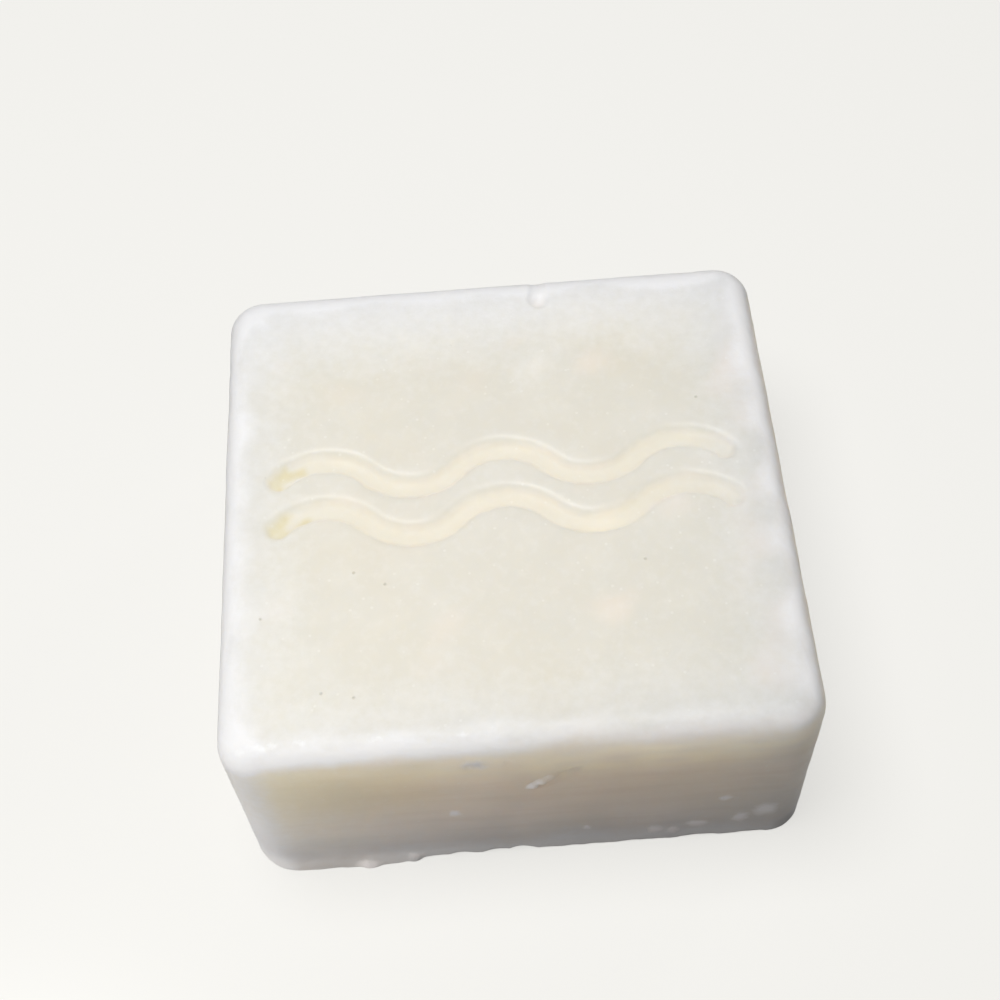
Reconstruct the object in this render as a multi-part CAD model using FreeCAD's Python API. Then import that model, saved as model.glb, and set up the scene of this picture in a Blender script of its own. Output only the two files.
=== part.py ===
"""A square conditioner bar, cast in one piece and turned out of its mould.

The bar stands on the face that was open while the wax set. That face is flat, and its rim is uneven: a
thin lip is left at the front left, and small chips are broken from the rest of the front edge. The top is
flat with a soft edge, and carries a pressed mark of two wavy grooves.

Frame: millimetres, +Z up, +Y to the back. The origin is the middle of the resting face.
"""
import FreeCAD, Part

import math
import os

V = FreeCAD.Vector
UP = V(0, 0, 1)
FORWARD = V(0, -1, 0)

# The block.
width = 60.0
depth = 59.0
height = 27.2
corner_radius = 4.0
top_edge_radius = 2.8
rim_radius = 0.5

# The pressed mark: rows of wavy groove, each a chain of equal arcs that meet without a kink.
groove_width = 3.0
groove_depth = 1.0
groove_draft = 28.0
groove_bevel_width = 0.45
groove_bevel_drop = 0.24
wave_rise = 2.0
half_waves = 5
rows = 2
row_pitch = 6.0
mark_margin = 4.6
mark_shift = 0.4

# The lip of spilt wax left along the front rim: (middle along X, half its length, reach past the front face).
lip_height = 2.6
lip_stretches = ((-22.4, 4.0, 0.60), (-17.6, 7.0, 0.62), (-17.4, 1.9, 0.92), (-12.9, 1.6, 0.45))

# Chips out of the front rim: (middle along X, half its length, depth measured across the edge).
rim_chips = (
    (-7.5, 1.9, 0.65),
    (-3.5, 2.1, 0.80),
    (-0.8, 1.9, 1.05),
    (11.4, 1.3, 0.50),
    (18.4, 3.4, 0.60),
    (24.2, 2.6, 0.55),
)

# The gouge in the front face, with its two ends as (along X, below the top face).
gouge_ends = ((0.6, 9.9), (4.5, 5.4))
gouge_radius = 0.6
gouge_depth = 0.35

# The nick in the top face, with its two ends as (along X, along Y).
nick_ends = ((-5.1, 19.6), (-4.1, 20.4))
nick_radius = 0.3
nick_depth = 0.2

# The dent in the top face, where the soft edge begins at the back.
dent_along = 5.6
dent_from_back = 3.7
dent_radius = 1.3
dent_depth = 0.4

# Small dents in the front face, just under the soft edge: (along X, below the top face).
edge_dents = ((-5.5, 3.8), (-1.6, 3.0))
edge_dent_radius = 1.1
edge_dent_depth = 0.22

front = -depth / 2
back = depth / 2


def edges_at(solid, level):
    """The edges of a solid that lie flat at one level."""
    return [edge for edge in solid.Edges if all(abs(end.Z - level) < 1e-6 for end in edge.Vertexes)]


def block():
    """The plain block, with round corners, a soft top edge and a slightly worn rim."""
    solid = Part.makeBox(width, depth, height, V(-width / 2, front, 0))
    corners = [edge for edge in solid.Edges if edge.BoundBox.ZLength > height / 2]
    solid = solid.makeFillet(corner_radius, corners)
    solid = solid.makeFillet(top_edge_radius, edges_at(solid, height))
    return solid.makeFillet(rim_radius, edges_at(solid, 0))


def lip(middle, half_length, reach):
    """One stretch of the lip: a shallow arc in plan, which leans back into the front face as it rises."""
    start = V(middle - half_length, front, 0)
    crest = V(middle, front - reach, 0)
    end = V(middle + half_length, front, 0)
    inwards = V(0, 2 * rim_radius, 0)  # far enough to close the worn rim behind the lip
    outline = [
        Part.Arc(start, crest, end).toShape(),
        Part.makeLine(end, end + inwards),
        Part.makeLine(end + inwards, start + inwards),
        Part.makeLine(start + inwards, start),
    ]
    return Part.Face(Part.Wire(outline)).extrude(V(0, reach, lip_height))


def rim_chip(middle, half_length, bite):
    """A ball that takes a shell-shaped chip out of the front rim, square across the edge."""
    radius = (half_length ** 2 + bite ** 2) / (2 * bite)
    outwards = (FORWARD - UP).normalize()
    return Part.makeSphere(radius, V(middle, front, 0) + outwards * (radius - bite))


def dent(point, outwards, radius, sunk):
    """A ball that sinks this deep into the surface at a point."""
    return Part.makeSphere(radius, point + outwards * (radius - sunk))


def scratch(start, end, outwards, radius, sunk):
    """A spindle, two cones base to base, that cuts a boat-shaped scratch into a flat face from start to end.

    The spindle's axis lies outside the face, so it is made longer than the scratch by the share of it that
    stays in the air.
    """
    middle = (start + end) * 0.5 + outwards * (radius - sunk)
    half = (end - start) * (0.5 * radius / sunk)
    side = Part.makePolygon([middle - half, middle + outwards * radius, middle + half, middle - half])
    return Part.Face(side).revolve(middle, half, 360)


def groove_side():
    """The right side of the groove's section, as points from the floor upwards.

    A flat floor meets a drafted wall, and a bevel eases the wall into the top face. The last point lies on the
    bevel's line past the top face, so the face is cut cleanly.
    """
    bevel = V(groove_bevel_width, 0, groove_bevel_drop)
    bevel_top = V(groove_width / 2, 0, height)
    bevel_foot = bevel_top - bevel
    wall_height = groove_depth - groove_bevel_drop
    wall_foot = bevel_foot - V(math.tan(math.radians(groove_draft)), 0, 1) * wall_height
    return [wall_foot, bevel_foot, bevel_top + bevel]


def curved_groove(centre, radius, first, turn):
    """The cutter of one arc of groove: the whole section, turned about the arc's upright axis."""
    right = groove_side()
    left = [V(-point.x, 0, point.z) for point in reversed(right)]
    section = Part.Face(Part.makePolygon(right + left + right[:1]))
    section.translate(V(radius, 0, 0))
    return placed(section.revolve(V(0, 0, 0), UP, turn), centre, first)


def groove_end(point, heading):
    """The cutter of a groove's round end: half of the section, turned through a half circle."""
    right = groove_side()
    middle = [V(0, 0, right[-1].z), V(0, 0, right[0].z)]
    section = Part.Face(Part.makePolygon(right + middle + right[:1]))
    return placed(section.revolve(V(0, 0, 0), UP, 180), point, heading - 90)


def placed(solid, point, turn):
    """A solid turned about +Z at the origin and then carried to a point."""
    solid.rotate(V(0, 0, 0), UP, turn)
    solid.translate(point)
    return solid


def wavy_groove(row_y):
    """The cutters of one row of the mark: its two round ends, and its arcs from left to right."""
    reach = width / 2 - mark_margin - groove_width / 2
    chord = 2 * reach / half_waves
    radius = (chord ** 2 / 4 + wave_rise ** 2) / (2 * wave_rise)
    half_turn = math.degrees(math.asin(chord / 2 / radius))
    sides = [1 if number % 2 == 0 else -1 for number in range(half_waves)]
    left_end = groove_end(V(-reach, row_y, 0), 180 + half_turn)
    right_end = groove_end(V(reach, row_y, 0), -sides[-1] * half_turn)
    cutters = [left_end, right_end]
    for number, side in enumerate(sides):
        centre = V(-reach + (number + 0.5) * chord, row_y + side * (wave_rise - radius), 0)
        cutters.append(curved_groove(centre, radius, 90 * side - half_turn, 2 * half_turn))
    return cutters


def pressed_mark():
    """The cutters of the whole mark, row by row from the front."""
    cutters = []
    for row in range(rows):
        cutters += wavy_groove(mark_shift + (row - (rows - 1) / 2) * row_pitch)
    return cutters


def damage():
    """The cutters of every chip, scratch and dent."""
    gouge = [V(along, front, height - below) for along, below in gouge_ends]
    nick = [V(along, across, height) for along, across in nick_ends]
    cutters = [rim_chip(*chip) for chip in rim_chips]
    cutters.append(scratch(*gouge, FORWARD, gouge_radius, gouge_depth))
    cutters.append(scratch(*nick, UP, nick_radius, nick_depth))
    cutters.append(dent(V(dent_along, back - dent_from_back, height), UP, dent_radius, dent_depth))
    for along, below in edge_dents:
        cutters.append(dent(V(along, front, height - below), FORWARD, edge_dent_radius, edge_dent_depth))
    return cutters


bar = block().fuse([lip(*stretch) for stretch in lip_stretches]).removeSplitter()
bar = bar.cut(pressed_mark()).cut(damage())

os.makedirs("parts", exist_ok=True)
bar.exportStep("parts/bar.step")
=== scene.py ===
import math

import bpy
import numpy as np
from mathutils import Matrix, Vector


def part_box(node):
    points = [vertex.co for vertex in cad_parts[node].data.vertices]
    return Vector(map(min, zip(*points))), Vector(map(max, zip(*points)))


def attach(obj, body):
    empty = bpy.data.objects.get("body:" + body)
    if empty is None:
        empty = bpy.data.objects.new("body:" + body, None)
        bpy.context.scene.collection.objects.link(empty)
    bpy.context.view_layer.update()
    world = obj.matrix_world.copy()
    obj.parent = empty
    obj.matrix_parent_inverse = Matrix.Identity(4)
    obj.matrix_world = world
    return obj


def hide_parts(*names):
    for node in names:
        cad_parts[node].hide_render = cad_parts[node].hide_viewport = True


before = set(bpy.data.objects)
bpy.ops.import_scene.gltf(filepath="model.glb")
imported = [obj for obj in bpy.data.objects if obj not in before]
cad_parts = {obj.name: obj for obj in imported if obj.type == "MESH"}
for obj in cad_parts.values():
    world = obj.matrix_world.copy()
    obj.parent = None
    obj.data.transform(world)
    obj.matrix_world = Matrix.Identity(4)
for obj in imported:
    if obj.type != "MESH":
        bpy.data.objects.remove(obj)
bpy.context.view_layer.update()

mm = 0.001

# ---------------------------------------------------------------------------------------------------------
# The bar's body.
# One block of conditioner wax, poured into a square mould and turned out. Its top edge is soft, its lower
# rim was trimmed by hand and chipped, and two wavy grooves are pressed into its top.
# ---------------------------------------------------------------------------------------------------------
low, high = (np.array(corner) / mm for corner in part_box("bar"))
half_width = high[0]
half_depth = high[1]
height = high[2]
corner_radius = 4.0
top_edge_radius = 2.8
rim_radius = 0.5

mark_reach = half_width - 6.1
mark_rows = (-2.6, 3.4)
half_waves = 5
wave_rise = 2.0
wave_chord = 2 * mark_reach / half_waves
wave_radius = (wave_chord ** 2 / 4 + wave_rise ** 2) / (2 * wave_rise)
groove_depth = 0.95
groove_wall = 1.10
groove_softness = 0.18


def smooth(value, start, end):
    """A smooth step: 0 at start, 1 at end, and 3t^2 - 2t^3 of the share t between them."""
    share = np.clip((value - start) / (end - start), 0, 1)
    return share * share * (3 - 2 * share)


def ripple(across, along, wavelength, seed):
    """A smooth uneven field, mostly between -1 and 1: the mean of twelve sine waves.

    Each runs in its own random direction, with a random start and a wavelength from 0.6 to 1.8 times the
    stated one. The sum is divided by five, so its spread is about one half.
    """
    chance = np.random.default_rng(seed)
    total = np.zeros(np.broadcast(across, along).shape)
    turns = chance.uniform(0, np.pi, 12)
    starts = chance.uniform(0, 6.3, 12)
    stretches = chance.uniform(0.6, 1.8, 12)
    for turn, start, stretch in zip(turns, starts, stretches):
        wave = 2 * np.pi / (wavelength * stretch)
        total += np.sin((across * np.cos(turn) + along * np.sin(turn)) * wave + start)
    return total / 5


def lines(*stops):
    """Grid positions: each stop is (place, step), with equal steps of about that size to the next stop."""
    parts = [np.linspace(a, b, max(round((b - a) / step), 1), endpoint=False)
             for (a, step), (b, _) in zip(stops, stops[1:])]
    return np.concatenate(parts + [np.array([stops[-1][0]])])


def wave_line(x):
    """Height of the wave above its row, and the sine of its slope, as a chain of equal arcs.

    With o the distance along X from the arc's middle, the height is sqrt(radius^2 - o^2) - radius + rise.
    The arcs lie on alternate sides. The wave fades out between the ends of the grooves and the corners.
    """
    number = np.floor((x + mark_reach) / wave_chord)
    side = np.where(number % 2 == 0, 1.0, -1.0)
    offset = x + mark_reach - (number + 0.5) * wave_chord
    fade = 1 - smooth(np.abs(x), mark_reach, half_width - corner_radius)
    rise = side * (wave_rise - wave_radius + np.sqrt(wave_radius ** 2 - offset ** 2))
    return rise * fade, -side * offset / wave_radius * fade


def mark_distance(x, y):
    """Distance to the nearest groove's middle line: to each arc within its turn, and to its ends."""
    nearest = np.full(x.shape, 99.0)
    half_turn = math.asin(wave_chord / 2 / wave_radius)
    for row in mark_rows:
        for number in range(half_waves):
            side = 1 if number % 2 == 0 else -1
            dx = x - (-mark_reach + (number + 0.5) * wave_chord)
            dy = side * (y - row) - (wave_rise - wave_radius)
            inside = np.abs(np.arctan2(dx, dy)) <= half_turn
            nearest = np.where(inside, np.minimum(nearest, np.abs(np.hypot(dx, dy) - wave_radius)), nearest)
        for end in (-mark_reach, mark_reach):
            nearest = np.minimum(nearest, np.hypot(x - end, y - row))
    return nearest


# Lines of the top face's grid. They are close together over the grooves and their ends, and in the corners.
corner_x = half_width - corner_radius
corner_y = half_depth - corner_radius
edge_x = half_width - top_edge_radius
edge_y = half_depth - top_edge_radius
across_groove = np.array([0.35, 0.62, 0.78, 0.90, 1.00, 1.09, 1.18, 1.28, 1.40, 1.55, 1.76, 2.08, 2.5])
one_row = np.concatenate([[-3.0], -across_groove[::-1], [0.0], across_groove])
columns = lines((-edge_x, 0.15), (-corner_x, 0.2), (-25.6, 0.14), (-22.2, 0.3), (-6.0, 0.25), (6.0, 0.3),
                (22.2, 0.14), (25.6, 0.2), (corner_x, 0.15), (edge_x, 0))
front_lines = lines((-edge_y, 0.15), (-corner_y, 0.42), (mark_rows[0] - 3.0, 0))[:-1]
back_lines = lines((mark_rows[1] + 3.0, 0.42), (24.0, 0.24), (corner_y, 0.15), (edge_y, 0))
rows = np.concatenate([front_lines, mark_rows[0] + one_row, mark_rows[1] + one_row, back_lines])


def top_plan(across, along):
    """Where the top face's grid lies in plan.

    Over the mark each line keeps its distance from the groove's middle line, along that line's normal. This
    eases to a plain shift along Y between the grooves, and to nothing some way outside them.
    """
    rise, slope = wave_line(across)
    row = np.where(along < np.mean(mark_rows), mark_rows[0], mark_rows[1])
    offset = along - row
    near = 1 - smooth(np.abs(offset), 1.7, 3.0)
    shift = smooth(along, mark_rows[0] - 11.0, mark_rows[0] - 3.0)
    shift = shift * (1 - smooth(along, mark_rows[1] + 3.0, mark_rows[1] + 11.0))
    x = across - offset * slope * near
    y = along + rise * shift - offset * (1 - np.sqrt(1 - slope ** 2)) * near
    return x, y


def round_corners(x, y):
    """Square corners drawn in to quarter discs, and the outward direction in plan at each place.

    With p the offset past the corner's centre, the new offset is p * max(|px|, |py|) / |p|, so each square
    ring round the centre becomes a round one.
    """
    past_x = np.sign(x) * np.maximum(np.abs(x) - corner_x, 0)
    past_y = np.sign(y) * np.maximum(np.abs(y) - corner_y, 0)
    reach = np.maximum(np.abs(past_x), np.abs(past_y))
    length = np.maximum(np.hypot(past_x, past_y), 1e-9)
    share = np.where(reach > 0, reach / length, 1.0) - 1
    return x + past_x * share, y + past_y * share, past_x / length, past_y / length


def cap(distance, radius, sunk):
    """Depth of the dent of a ball, sunk this deep: sqrt(radius^2 - distance^2) - (radius - sunk), or none."""
    return np.maximum(np.sqrt(np.maximum(radius ** 2 - distance ** 2, 0)) - (radius - sunk), 0)


def boat(a, b, start, end, half_breadth, sunk):
    """Depth of a boat-shaped scratch from start to end: sunk * (1 - along^2 - across^2), or 0 if less."""
    middle = (np.array(start) + np.array(end)) / 2
    way = np.array(end) - middle
    length = np.hypot(*way)
    along = ((a - middle[0]) * way[0] + (b - middle[1]) * way[1]) / length
    across = ((b - middle[1]) * way[0] - (a - middle[0]) * way[1]) / length
    return sunk * np.maximum(1 - (along / length) ** 2 - (across / half_breadth) ** 2, 0)


def crumbly(x, y):
    """How crumbly the wax is, from 0 to 1, in a band 1 mm wide where the soft edge begins at the front.

    The band is full at the left corner, comes in patches from there to the middle, and then ends.
    """
    line = 27.3 + 0.35 * ripple(x, 0, 5.0, 6)
    band = np.exp(-((y + line) / 0.55) ** 2)
    patches = 0.25 + 0.5 * smooth(ripple(x, 0, 4.0, 7), -0.3, 0.3)
    share = np.maximum(1 - smooth(x, -24.5, -22.0), patches * (1 - smooth(x, -8.0, 6.0)))
    return band * share * smooth(x, -28.5, -27.2)


def top_level(x, y):
    """How far the top face lies below the bar's full height, and how deep it is pressed, from 0 to 1."""
    wander = 0.05 * ripple(x, y, 2.2, 3)
    pressed = 1 / (1 + np.exp((mark_distance(x, y) + wander - groove_wall) / groove_softness))
    uneven = 0.03 + 0.03 * ripple(x, y, 14.0, 1) + 0.012 * ripple(x, y, 4.0, 2)
    floor = groove_depth * (1 + 0.05 * ripple(x, y, 3.0, 4))
    dent = cap(np.hypot(x - 5.6, (y - 25.8) * 0.8), 1.3, 0.75)
    nick = boat(x, y, (-5.1, 19.6), (-4.1, 20.4), 0.3, 0.2)
    crumbled = crumbly(x, y) * (0.10 + 0.12 * ripple(x, y, 1.0, 5))
    return np.maximum(uneven, 0) + pressed * floor + dent + nick + np.maximum(crumbled, 0), pressed


across, along = np.meshgrid(columns, rows)
x, y = top_plan(across, along)
x, y, normal_x, normal_y = round_corners(x, y)
level, pressed = top_level(x, y)

# The ring of grid points round the top face, anticlockwise from the front left corner.
count_x, count_y = len(columns), len(rows)
index = np.arange(count_x * count_y).reshape(count_y, count_x)
ring = np.concatenate([index[0, :-1], index[:-1, -1], index[-1, :0:-1], index[:0:-1, 0]])
ring_x, ring_y = x.ravel()[ring], y.ravel()[ring]
out_x, out_y = normal_x.ravel()[ring], normal_y.ravel()[ring]
ring_level = level.ravel()[ring]

# How far along the rim each ring point is, in millimetres, with 0 in the middle of the front.
wall_x = ring_x + out_x * top_edge_radius
wall_y = ring_y + out_y * top_edge_radius
step = np.hypot(np.diff(wall_x, append=wall_x[0]), np.diff(wall_y, append=wall_y[0]))
travel = np.concatenate([[0], np.cumsum(step)[:-1]])
travel -= travel[np.argmin(np.abs(wall_x) + 1000 * (wall_y > 0))]
round_trip = step.sum()
travel = np.where(travel > round_trip / 2, travel - round_trip, travel)


def chip_leg(t, middle, half_length, bite):
    """How far a shell-shaped chip reaches up the wall and in under the bar.

    A ball across the edge, with its centre on the line at 45 degrees outside it, cuts both faces equally.
    """
    radius = (half_length ** 2 + bite ** 2) / (2 * bite)
    offset = (radius - bite) / math.sqrt(2)
    return np.maximum(np.sqrt(np.maximum(radius ** 2 - (t - middle) ** 2 - offset ** 2, 0)) - offset, 0)


def lip_reach(t):
    """Reach of the spilt lip past the wall: the highest of four shallow parabolas along the rim.

    Each is (its middle along the rim, half its length, its reach).
    """
    stretches = ((-23.2, 5.4, 0.60), (-17.6, 7.0, 0.62), (-17.4, 1.9, 0.90), (-12.9, 1.6, 0.45))
    humps = [reach * np.maximum(1 - ((t - middle) / half) ** 2, 0) for middle, half, reach in stretches]
    return np.max(humps, axis=0)


# The chips: (middle along the rim, half its length, depth across the edge).
chips = (
    (-7.5, 1.9, 0.65), (-3.5, 2.1, 0.80), (-0.8, 1.9, 1.05),
    (11.4, 1.3, 0.50), (18.4, 3.4, 0.60), (24.2, 2.6, 0.55),
)
chip = np.max([chip_leg(travel, *each) for each in chips], axis=0)
lip = lip_reach(travel)
ragged = ripple(travel, 0, 2.6, 11)
leg = np.maximum(chip + 0.10 * ragged, rim_radius * (1 - 0.5 * smooth(lip, 0.1, 0.5)) + 0.14 * ragged)
hollow = smooth(chip, 0.4, 0.9) * 0.8


def wall_inset(t, z):
    """How far the wall lies inside the plain block at a place along the rim and a height, in millimetres.

    It is the sum of a slight unevenness, the gouge and two dents under the soft edge, less the flake that the
    gouge pushed up at its low end, and less the lip, which leans out as it nears the rim.
    """
    uneven = 0.05 + 0.04 * ripple(t, z, 11.0, 21) + 0.02 * ripple(t, z, 3.5, 22)
    gouge = boat(t, z, (0.9, height - 10.2), (5.6, height - 5.4), 0.70, 0.60)
    flake = boat(t, z, (-0.2, height - 10.2), (3.6, height - 6.6), 0.60, 0.34)
    flake = flake * np.clip(1 + 1.2 * ripple(t, z, 1.6, 23), 0.2, 1.5)
    dents = cap(np.hypot(t + 5.5, z - height + 3.8), 1.1, 0.22)
    dents += cap(np.hypot(t + 1.6, z - height + 3.0), 1.1, 0.22)
    spill = lip_reach(t) * np.clip(1 - z / 3.0, 0, 1) ** 1.7
    return np.maximum(uneven, 0) * smooth(z, 0.3, 3.0) + gouge - flake + dents - spill


# The side, from the top face's ring outwards over the soft edge, down the wall and round the rim.
turn = np.linspace(0, np.pi / 2, 11)[1:, None]
worn = 0.10 * np.maximum(ripple(travel[None], turn * 6, 2.8, 31) - 0.3, 0) * np.sin(2 * turn)
edge_out = (top_edge_radius - worn) * np.sin(turn) - wall_inset(travel[None], height) * np.sin(turn) ** 2
edge_z = height - ring_level * np.cos(turn) ** 2 - top_edge_radius + (top_edge_radius - worn) * np.cos(turn)
edge_out = np.broadcast_to(edge_out, edge_z.shape)

wall_lines = lines((3.2, 0.7), (16.4, 0.28), (23.2, 0.4), (height - top_edge_radius, 0))[::-1][1:, None]
foot_lines = np.linspace(1, 0, 6)[1:, None]
upper_z = np.broadcast_to(wall_lines, (len(wall_lines), len(travel)))
wall_z = np.concatenate([upper_z, leg + (3.2 - leg) * foot_lines])
wall_out = top_edge_radius - wall_inset(travel[None], wall_z)

bend = np.linspace(0, np.pi / 2, 6)[1:, None]
rim_z = leg * ((1 - hollow) * (1 - np.sin(bend)) + hollow * np.cos(bend))
rim_in = leg * ((1 - hollow) * (1 - np.cos(bend)) + hollow * np.sin(bend))
rim_out = top_edge_radius - rim_in - wall_inset(travel[None], rim_z)

out = np.concatenate([edge_out, wall_out, rim_out])
side_z = np.concatenate([edge_z, wall_z, rim_z])
side_x = ring_x + out_x * out
side_y = ring_y + out_y * out

# The resting face, as rings that close in on its middle.
shares = np.array([0.99, 0.9, 0.6, 0.3])[:, None]
base_x = side_x[-1] * shares
base_y = side_y[-1] * shares

points = np.concatenate([
    np.stack([x, y, height - level], -1).reshape(-1, 3),
    np.stack([side_x, side_y, side_z], -1).reshape(-1, 3),
    np.stack([base_x, base_y, np.zeros(base_x.shape)], -1).reshape(-1, 3),
    np.zeros((1, 3)),
])
points[:, 0] = np.clip(points[:, 0], low[0], high[0])
points[:, 1] = np.clip(points[:, 1], low[1], high[1])
points[:, 2] = np.clip(points[:, 2], 0, high[2])

top_faces = np.stack([index[:-1, :-1], index[:-1, 1:], index[1:, 1:], index[1:, :-1]], -1).reshape(-1, 4)
lower_rings = index.size + np.arange((len(out) + len(shares)) * len(ring)).reshape(-1, len(ring))
rings = np.concatenate([ring[None], lower_rings])
onwards = np.roll(rings, -1, axis=1)
side_faces = np.stack([rings[1:], onwards[1:], onwards[:-1], rings[:-1]], -1).reshape(-1, 4)
pole = np.full(len(ring), len(points) - 1)
pole_faces = np.stack([pole, onwards[-1], rings[-1]], -1)

mesh = bpy.data.meshes.new("bar_of_wax")
mesh.from_pydata((points * mm).tolist(), [], top_faces.tolist() + side_faces.tolist() + pole_faces.tolist())
mesh.polygons.foreach_set("use_smooth", np.ones(len(mesh.polygons), bool))

# Seven values for the wax's finish, each from 0 to 1 at every point of the mesh.
point_x, point_y, point_z = points.T
straying = ripple(point_x, point_y, 9.0, 41)
below = height - point_z

# "frost" is the white bloom, and in places painted light. On the top it is about 5 mm wide, thicker at the
# back and thinner at the front right. It ends in an uneven line just under the soft edge, which runs lower on
# the left and a little higher on the right. The trimmed rim carries some, as bloom and as painted light that
# lifts the shade at the foot. The left corners carry some too, as painted light from the left.
from_side = np.minimum(half_width - np.abs(point_x), half_depth - np.abs(point_y))
inwards = from_side + straying
thickness = 0.8 * (1 - smooth(inwards, 0.6, 4.0)) + 0.2 * (1 - smooth(inwards, 3.0, 11.0))
thickness += 0.35 * smooth(point_y + 2.0 * straying, 12.0, 27.0)
front_right_thinning = smooth(point_x, -8.0, 8.0) * (1 - smooth(point_x, 23.0, 28.0)) * smooth(-point_y, 22.0, 27.0)
thickness *= 1 - 0.5 * front_right_thinning
dip = 1.2 * smooth(-point_x, 25.0, 29.0) - 0.4 * smooth(point_x, 20.0, 27.0)
level_here = point_z + 0.4 * straying + dip
frost_and_painted_light = thickness * smooth(level_here, height - 2.1, height - 0.8)
# Along the rim: bloom from the trimming, and painted light that lifts the shade at the foot.
rim_bloom_and_painted_light = 0.45 + 0.45 * smooth(point_x, -22.0, -8.0)
frost_and_painted_light += rim_bloom_and_painted_light * (1 - smooth(point_z + 0.8 * straying, 1.0, 5.5))
# The left corners: painted light from the left, which the right corners don't get.
past_corner = np.minimum(-point_x - corner_x, np.abs(point_y) - corner_y)
frost_and_painted_light += 0.6 * smooth(past_corner + 0.5 * straying, -1.6, 1.6)

# "pressed" is how deep in a groove the place is. "wall" marks the walls, whose coat is painted light: a
# lighter, warmer cream that brightens the walls, which get little lamp light.
pressed_here = np.zeros(len(points))
pressed_here[:index.size] = pressed.ravel()
wall = (1 - smooth(level_here, height - 1.1, height - 0.2)) * (1 - 0.8 * pressed_here)

# "band" is painted glow: a warmer, lighter stretch of wall just under the frost, standing in for light that
# scatters in through the soft edge and comes out below it. "butter" is how much of the last, yellow butter
# has gathered there: in the left ends of the grooves, and a little in the left half of the front.
under_frost = below + 0.6 * straying - dip
patchy = 0.75 + 0.5 * ripple(point_x * 0.4, point_z, 3.0, 43)
band = smooth(under_frost, 0.6, 2.2) * (1 - smooth(under_frost, 4.5, 9.0))
band *= patchy * (0.4 + 0.6 * smooth(point_x, -20.0, 10.0))
groove_end = 1 - smooth(point_x + 2.5 * ripple(point_x, point_y, 3.0, 42), -23.5, -21.0)
left_front = (1 - smooth(point_x, -14.0, -4.0)) * (point_y < 0)
left_front *= smooth(under_frost, 1.0, 2.5) * (1 - smooth(under_frost, 8.0, 17.0))
butter = pressed_here * groove_end + 0.4 * left_front

# "crumbly" is the crumbly line on the top, where the material adds painted glints. "flake" is the wax that
# the gouge pushed up, whitest at its low end.
crumbly_here = crumbly(point_x, point_y) * (below < 1.5)
flake_end = np.clip(1.1 - (point_x + 0.2) / 4.5, 0.35, 1.0)
flake = boat(point_x, point_z, (-0.5, height - 10.5), (4.2, height - 6.1), 0.85, 1.0) * (point_y < -28)
flake = smooth(flake, 0.0, 0.6) * flake_end

finish_values = {
    "frost_and_painted_light": frost_and_painted_light, "pressed": pressed_here, "wall": wall, "band": band,
    "butter": butter, "crumbly": crumbly_here, "flake": flake,
}
for name, values in finish_values.items():
    attribute = mesh.attributes.new(name, "FLOAT", "POINT")
    attribute.data.foreach_set("value", np.clip(values, 0, 1).astype(np.float32))

bar = bpy.data.objects.new("bar_of_wax", mesh)
bpy.context.collection.objects.link(bar)
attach(bar, "root")
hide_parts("bar")


# ---------------------------------------------------------------------------------------------------------
# The wax: cetyl alcohol and plant butter with a conditioning emulsifier, cast and left to set.
# It is cream and slightly see-through, so light spreads a few millimetres inside it. The skin is satin. The
# edges carry a whiter bloom, which at the left corners and the rim is partly painted light, and the last of
# the butter has gathered yellow in the mark.
# ---------------------------------------------------------------------------------------------------------
def colour(text):
    """An sRGB hex colour as linear red, green, blue and alpha, by the sRGB curve."""
    parts = [int(text[place:place + 2], 16) / 255 for place in (1, 3, 5)]
    return [part / 12.92 if part <= 0.04045 else ((part + 0.055) / 1.055) ** 2.4 for part in parts] + [1.0]


def node(tree, kind, links=(), out=0, **settings):
    """Adds a node and gives one of its outputs. Settings are its properties, links (input, value) pairs."""
    new = tree.nodes.new("ShaderNode" + kind)
    for name, value in settings.items():
        setattr(new, name, value)
    for name, value in links:
        if isinstance(value, bpy.types.NodeSocket):
            tree.links.new(value, new.inputs[name])
        else:
            new.inputs[name].default_value = value
    return None if out is None else new.outputs[out]


wax = bpy.data.materials.new("cast conditioner wax")
wax.use_nodes = True
tree = wax.node_tree
tree.nodes.clear()
place = node(tree, "TexCoord", out="Object")

# Noise patterns, named for what they do and scaled in lumps per metre.
clouds = node(tree, "TexNoise", [("Vector", place), ("Scale", 1 / 0.018), ("Detail", 2.0)])
mottle = node(tree, "TexNoise", [("Vector", place), ("Scale", 1 / 0.0035), ("Detail", 4.0)])
crumbs = node(tree, "TexNoise", [
    ("Vector", place), ("Scale", 1 / 0.0011), ("Detail", 4.0), ("Roughness", 0.6),
])
streak_place = node(tree, "VectorMath", [(0, place), (1, (0.12, 1.0, 1.0))], operation="MULTIPLY")
streaks = node(tree, "TexNoise", [("Vector", streak_place), ("Scale", 1 / 0.0016), ("Detail", 3.0)])

# The frost: its uneven line is broken up by the crumbs.
frost_and_painted_light_here = node(tree, "Attribute", out="Fac", attribute_name="frost_and_painted_light")
broken = node(tree, "Math", [(0, crumbs), (1, 0.5), (2, -0.25)], operation="MULTIPLY_ADD")
frost_and_painted_light_broken = node(tree, "Math", [(0, frost_and_painted_light_here), (1, broken)], operation="ADD")
frost_and_painted_light_share = node(tree, "MapRange", [("Value", frost_and_painted_light_broken), ("From Min", 0.0), ("From Max", 0.85)])

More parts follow.
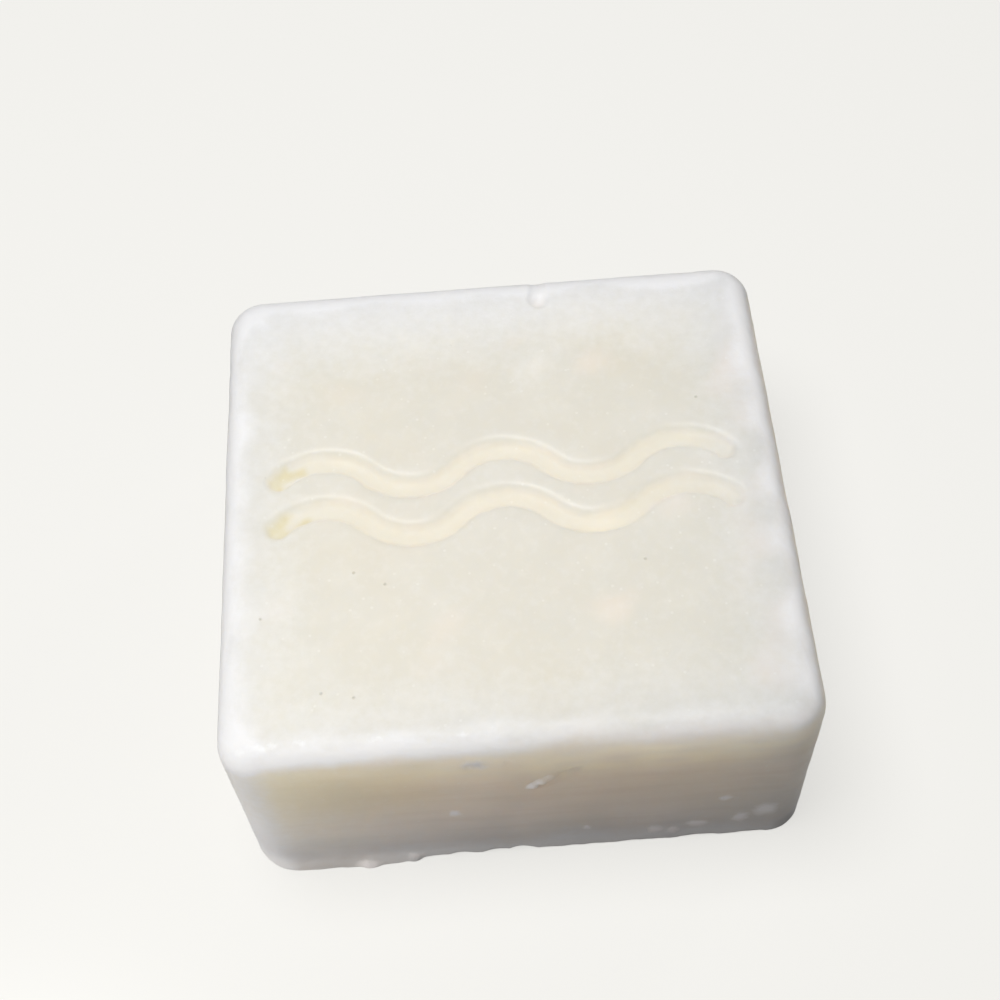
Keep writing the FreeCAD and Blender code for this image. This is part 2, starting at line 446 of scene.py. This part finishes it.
# Bits torn or scuffed white. Each is (its middle), half its size along X and half its size upwards, in mm.
torn_bits = (
    ((-4.9, -29.3, 23.9), 1.0, 0.9), ((-7.5, -29.5, 11.9), 0.55, 0.7), ((20.7, -29.5, 10.7), 0.6, 0.5),
    ((6.3, -29.5, 5.3), 0.35, 0.5), ((13.6, -29.5, 3.3), 0.6, 0.8), ((15.6, -29.5, 2.6), 0.5, 0.7),
    ((18.1, -29.5, 4.0), 0.9, 0.8), ((22.7, -29.5, 5.0), 0.7, 1.0), ((25.2, -29.3, 6.6), 1.1, 1.4),
    ((-17.6, -30.2, 0.5), 1.2, 0.6), ((-12.3, -29.9, 1.1), 0.8, 0.5),
)
jitter = node(tree, "TexNoise", [("Vector", place), ("Scale", 1 / 0.0009)], out="Color")
jitter = node(tree, "VectorMath", [(0, jitter), (1, (0.5, 0.5, 0.5))], operation="SUBTRACT")
jittered = node(tree, "VectorMath", [(0, jitter), (1, 3 * (0.0012,)), (2, place)], operation="MULTIPLY_ADD")
torn = None
for middle, along_x, up in torn_bits:
    offset = node(tree, "VectorMath", [(0, jittered), (1, Vector(middle) * mm)], operation="SUBTRACT")
    stretch = Vector((1 / along_x, 1, 1 / up)) / mm
    squeezed = node(tree, "VectorMath", [(0, offset), (1, stretch)], operation="MULTIPLY")
    distance = node(tree, "VectorMath", [(0, squeezed)], out="Value", operation="LENGTH")
    if torn is None:
        torn = distance
    else:
        torn = node(tree, "Math", [(0, torn), (1, distance)], operation="MINIMUM")
torn_share = node(tree, "MapRange", [("Value", torn), ("From Min", 1.5), ("From Max", 0.5)])
flake = node(tree, "Attribute", out="Fac", attribute_name="flake")
flake_broken = node(tree, "Math", [(0, crumbs), (1, 1.0), (2, flake)], operation="MULTIPLY_ADD")
flake_share = node(tree, "MapRange", [("Value", flake_broken), ("From Min", 0.85), ("From Max", 1.45)])
torn_share = node(tree, "Math", [(0, torn_share), (1, flake_share)], operation="MAXIMUM")

# The crumbly line, broken into crumbs a millimetre long. Its white coat is painted glints of the lamp on the
# crumbs.
crumbly_here = node(tree, "Attribute", out="Fac", attribute_name="crumbly")
crumbly_broken = node(tree, "Math", [(0, crumbs), (1, 2.0), (2, crumbly_here)], operation="MULTIPLY_ADD")
painted_glint_share = node(tree, "MapRange", [("Value", crumbly_broken), ("From Min", 1.6), ("From Max", 2.5)])

# Pinholes where air came out: places on the top face in mm. Their dark coat is painted shade in the holes.
pinholes = (
    (21.7, 10.3), (-16.0, -8.7), (-12.8, -10.3), (-25.5, -13.3), (-19.4, -22.1), (-16.2, -22.8), (13.9, -9.6),
    (-25.2, 3.9), (-4.6, 20.0),
)
nearest = None
for hole in pinholes:
    hole_place = Vector((*hole, height)) * mm
    distance = node(tree, "VectorMath", [(0, place), (1, hole_place)], out="Value", operation="DISTANCE")
    if nearest is None:
        nearest = distance
    else:
        nearest = node(tree, "Math", [(0, nearest), (1, distance)], operation="MINIMUM")
pinhole_shade_share = node(tree, "MapRange", [
    ("Value", nearest), ("From Min", 0.00022), ("From Max", 0.00005), ("To Max", 0.4),
])

# White specks a fifth of a millimetre across, some way apart, and only where the clouds are thin.
specks = node(tree, "TexVoronoi", [("Vector", place), ("Scale", 1 / 0.0016)], out="Distance")
few = node(tree, "MapRange", [
    ("Value", clouds), ("From Min", 0.48), ("From Max", 0.58), ("To Min", 0.24), ("To Max", 0.0),
])
speck_near = node(tree, "MapRange", [("Value", specks), ("From Min", 0.13), ("From Max", 0.06)])
speck_share = node(tree, "Math", [(0, speck_near), (1, few)], operation="MULTIPLY")

# The colour, as coats over the plain wax, from the bottom up. Each is (how much of it shows, its colour).
wall_here = node(tree, "Attribute", out="Fac", attribute_name="wall")
streaked = node(tree, "MapRange", [
    ("Value", streaks), ("From Min", 0.48), ("From Max", 0.72), ("To Max", 0.3),
])
streaked = node(tree, "Math", [(0, wall_here), (1, streaked)], operation="MULTIPLY")
painted_glow_here = node(tree, "Attribute", out="Fac", attribute_name="band")
cloudy = node(tree, "MapRange", [
    ("Value", clouds), ("From Min", 0.40), ("From Max", 0.75), ("To Max", 0.5),
])
mottled = node(tree, "MapRange", [
    ("Value", mottle), ("From Min", 0.45), ("From Max", 0.75), ("To Max", 0.28),
])
pressed_here = node(tree, "Attribute", out="Fac", attribute_name="pressed")
pressed_share = node(tree, "Math", [(0, pressed_here), (1, 0.6)], operation="MULTIPLY")
butter_here = node(tree, "Attribute", out="Fac", attribute_name="butter")
butter_share = node(tree, "Math", [(0, butter_here), (1, 0.8)], operation="MULTIPLY")
bloom_and_painted_light_share = node(tree, "Math", [(0, frost_and_painted_light_share), (1, 0.9)], operation="MULTIPLY")
coats = (
    # Walls: painted light, a lighter and warmer cream that brightens the shaded walls.
    (wall_here, "#F0E2D5"),
    (streaked, "#DECCBC"),
    # Painted glow: the light that scatters in through the soft edge, shown as a warmer, lighter colour below
    # it.
    (painted_glow_here, "#FAEBD6"),
    (cloudy, "#DCD4C2"),
    (mottled, "#E4E0D7"),
    # Groove floors: a paler cream, partly the wax's own and partly painted light that offsets the shade in
    # the grooves.
    (pressed_share, "#ECE6D8"),
    (butter_share, "#DCD0AA"),
    # Bloom, and painted light at the left corners and along the rim.
    (bloom_and_painted_light_share, "#F3F1EF"),
    (speck_share, "#F6F4EF"),
    # Painted glints on the crumbly line.
    (painted_glint_share, "#FCFBF8"),
    (torn_share, "#FFF8F4"),
    # Painted shade in the pinholes.
    (pinhole_shade_share, "#8F8A80"),
)
tint = colour("#DAD6CB")
for share, coat in coats:
    tint = node(tree, "Mix", [("Factor", share), (6, tint), (7, colour(coat))], out=2, data_type="RGBA")

# Relief finer than the mesh: a slight orange peel and drag streaks all over, crumbs in the frost, and raised
# torn bits and sunk pinholes.
crumbling = node(tree, "Math", [(0, frost_and_painted_light_share), (1, 1.2)], operation="MULTIPLY")
crumbling = node(tree, "Math", [(0, crumbs), (1, crumbling)], operation="MULTIPLY")
relief = node(tree, "Math", [(0, mottle), (1, 0.3), (2, crumbling)], operation="MULTIPLY_ADD")
relief = node(tree, "Math", [(0, streaks), (1, 0.3), (2, relief)], operation="MULTIPLY_ADD")
relief = node(tree, "Math", [(0, torn_share), (1, 1.2), (2, relief)], operation="MULTIPLY_ADD")
relief = node(tree, "Math", [(0, pinhole_shade_share), (1, -4.0), (2, relief)], operation="MULTIPLY_ADD")
bumped = node(tree, "Bump", [("Strength", 1.0), ("Distance", 0.00005), ("Height", relief)])
roughness = node(tree, "MapRange", [
    ("Value", mottle), ("From Min", 0.3), ("From Max", 0.7), ("To Min", 0.40), ("To Max", 0.50),
])
roughness = node(tree, "Math", [(0, pressed_here), (1, 0.15), (2, roughness)], operation="MULTIPLY_ADD")
roughness = node(tree, "Math", [(0, frost_and_painted_light_share), (1, 0.15), (2, roughness)], operation="MULTIPLY_ADD")

# Bloom, torn wax and the scuffed rim scatter the light at the very surface, so less of it goes inside. Bloom
# also mirrors less.
depth = node(tree, "Math", [(0, frost_and_painted_light_share), (1, -0.5), (2, 1.0)], operation="MULTIPLY_ADD")
up = node(tree, "SeparateXYZ", [(0, place)], out="Z")
scuffed = node(tree, "MapRange", [
    ("Value", up), ("From Min", 0.0015), ("From Max", 0.006), ("To Min", 0.5), ("To Max", 0.0),
])
depth = node(tree, "Math", [(0, depth), (1, scuffed)], operation="SUBTRACT")
depth = node(tree, "Math", [(0, torn_share), (1, -0.8), (2, depth)], operation="MULTIPLY_ADD", use_clamp=True)
gloss = node(tree, "Math", [(0, frost_and_painted_light_share), (1, -0.35), (2, 0.5)], operation="MULTIPLY_ADD")

shader = node(tree, "BsdfPrincipled", [
    ("Base Color", tint), ("Roughness", roughness), ("Normal", bumped),
    ("IOR", 1.44), ("Specular IOR Level", gloss),
    ("Subsurface Weight", depth), ("Subsurface Radius", (1.0, 0.92, 0.78)), ("Subsurface Scale", 0.031),
])
node(tree, "OutputMaterial", [("Surface", shader)], out=None)
mesh.materials.append(wax)

# ---------------------------------------------------------------------------------------------------------
# The table top: a wide pale sheet, which the camera sees at its own colour.
# ---------------------------------------------------------------------------------------------------------
pale = colour("#F1F0EC")
floor_mesh = bpy.data.meshes.new("table_top")
floor_mesh.from_pydata([(-3, -3, 0), (3, -3, 0), (3, 3, 0), (-3, 3, 0)], [], [(0, 1, 2, 3)])
floor = bpy.data.objects.new("table_top", floor_mesh)
bpy.context.collection.objects.link(floor)

paper = bpy.data.materials.new("pale matt paper")
paper.use_nodes = True
tree = paper.node_tree
tree.nodes.clear()
seen = node(tree, "LightPath", out="Is Camera Ray")
reflected = node(tree, "LightPath", out="Is Glossy Ray")
shown = node(tree, "Math", [(0, seen), (1, reflected)], operation="MAXIMUM")
tint = node(tree, "Mix", [("Factor", shown), (6, colour("#828183")), (7, pale)], out=2, data_type="RGBA")
sheet = node(tree, "BsdfDiffuse", [("Color", tint)])
glow = node(tree, "Emission", [("Color", pale), ("Strength", 1.0)])
share = node(tree, "Math", [(0, shown), (1, 0.78)], operation="MULTIPLY")
both = node(tree, "MixShader", [(0, share), (1, sheet), (2, glow)])
node(tree, "OutputMaterial", [("Surface", both)], out=None)
floor_mesh.materials.append(paper)

# ---------------------------------------------------------------------------------------------------------
# The light: a wide soft lamp overhead, a weak one far behind on the right, and a small low one close by at
# the front left. All are plain white.
# ---------------------------------------------------------------------------------------------------------
world = bpy.data.worlds.new("room")
bpy.context.scene.world = world
world.use_nodes = True
tree = world.node_tree
tree.nodes.clear()
seen = node(tree, "LightPath", out="Is Camera Ray")
tint = node(tree, "Mix", [("Factor", seen), (6, (0.02, 0.02, 0.02, 1.0)), (7, pale)], out=2, data_type="RGBA")
room = node(tree, "Background", [("Color", tint), ("Strength", 1.0)])
node(tree, "OutputWorld", [("Surface", room)], out=None)


def lamp(name, place, target, power, breadth):
    """Adds a round lamp at a place in metres, turned to face a target, which the camera doesn't see."""
    light = bpy.data.lights.new(name, "AREA")
    light.shape = "DISK"
    light.size = breadth
    light.energy = power
    holder = bpy.data.objects.new(name, light)
    holder.location = place
    holder.rotation_mode = "QUATERNION"
    holder.rotation_quaternion = (Vector(place) - Vector(target)).to_track_quat("Z", "Y")
    holder.visible_camera = False
    bpy.context.collection.objects.link(holder)


lamp("overhead", (-0.10, -0.012, 0.50), (0, 0, 0), 2.94, 0.30)
lamp("behind", (0.63, 0.576, 0.279), (0, 0, 0), 0.90, 0.25)
lamp("low", (-0.062, -0.069, 0.011), (-0.028, -0.03, 0.004), 0.0122, 0.02)

# ---------------------------------------------------------------------------------------------------------
# The camera: hand-held close above the front of the bar, looking down at it, turned a little clockwise.
# ---------------------------------------------------------------------------------------------------------
camera = bpy.data.cameras.new("camera")
camera.sensor_width = 36.0
camera.lens = 57.17
camera.clip_start = 0.01
camera_object = bpy.data.objects.new("camera", camera)
back = Vector((-0.0031, -0.5415, 0.8407)).normalized()
right = Vector((0.0751, 0.8382, 0.5402)).cross(back).normalized()
turned = Matrix((right, back.cross(right), back)).transposed()
stand = Vector((-0.97, -91.55, height + 140.26)) * mm
camera_object.matrix_world = Matrix.Translation(stand) @ turned.to_4x4()
bpy.context.collection.objects.link(camera_object)
bpy.context.scene.camera = camera_object

bpy.context.scene.view_settings.view_transform = "Standard"
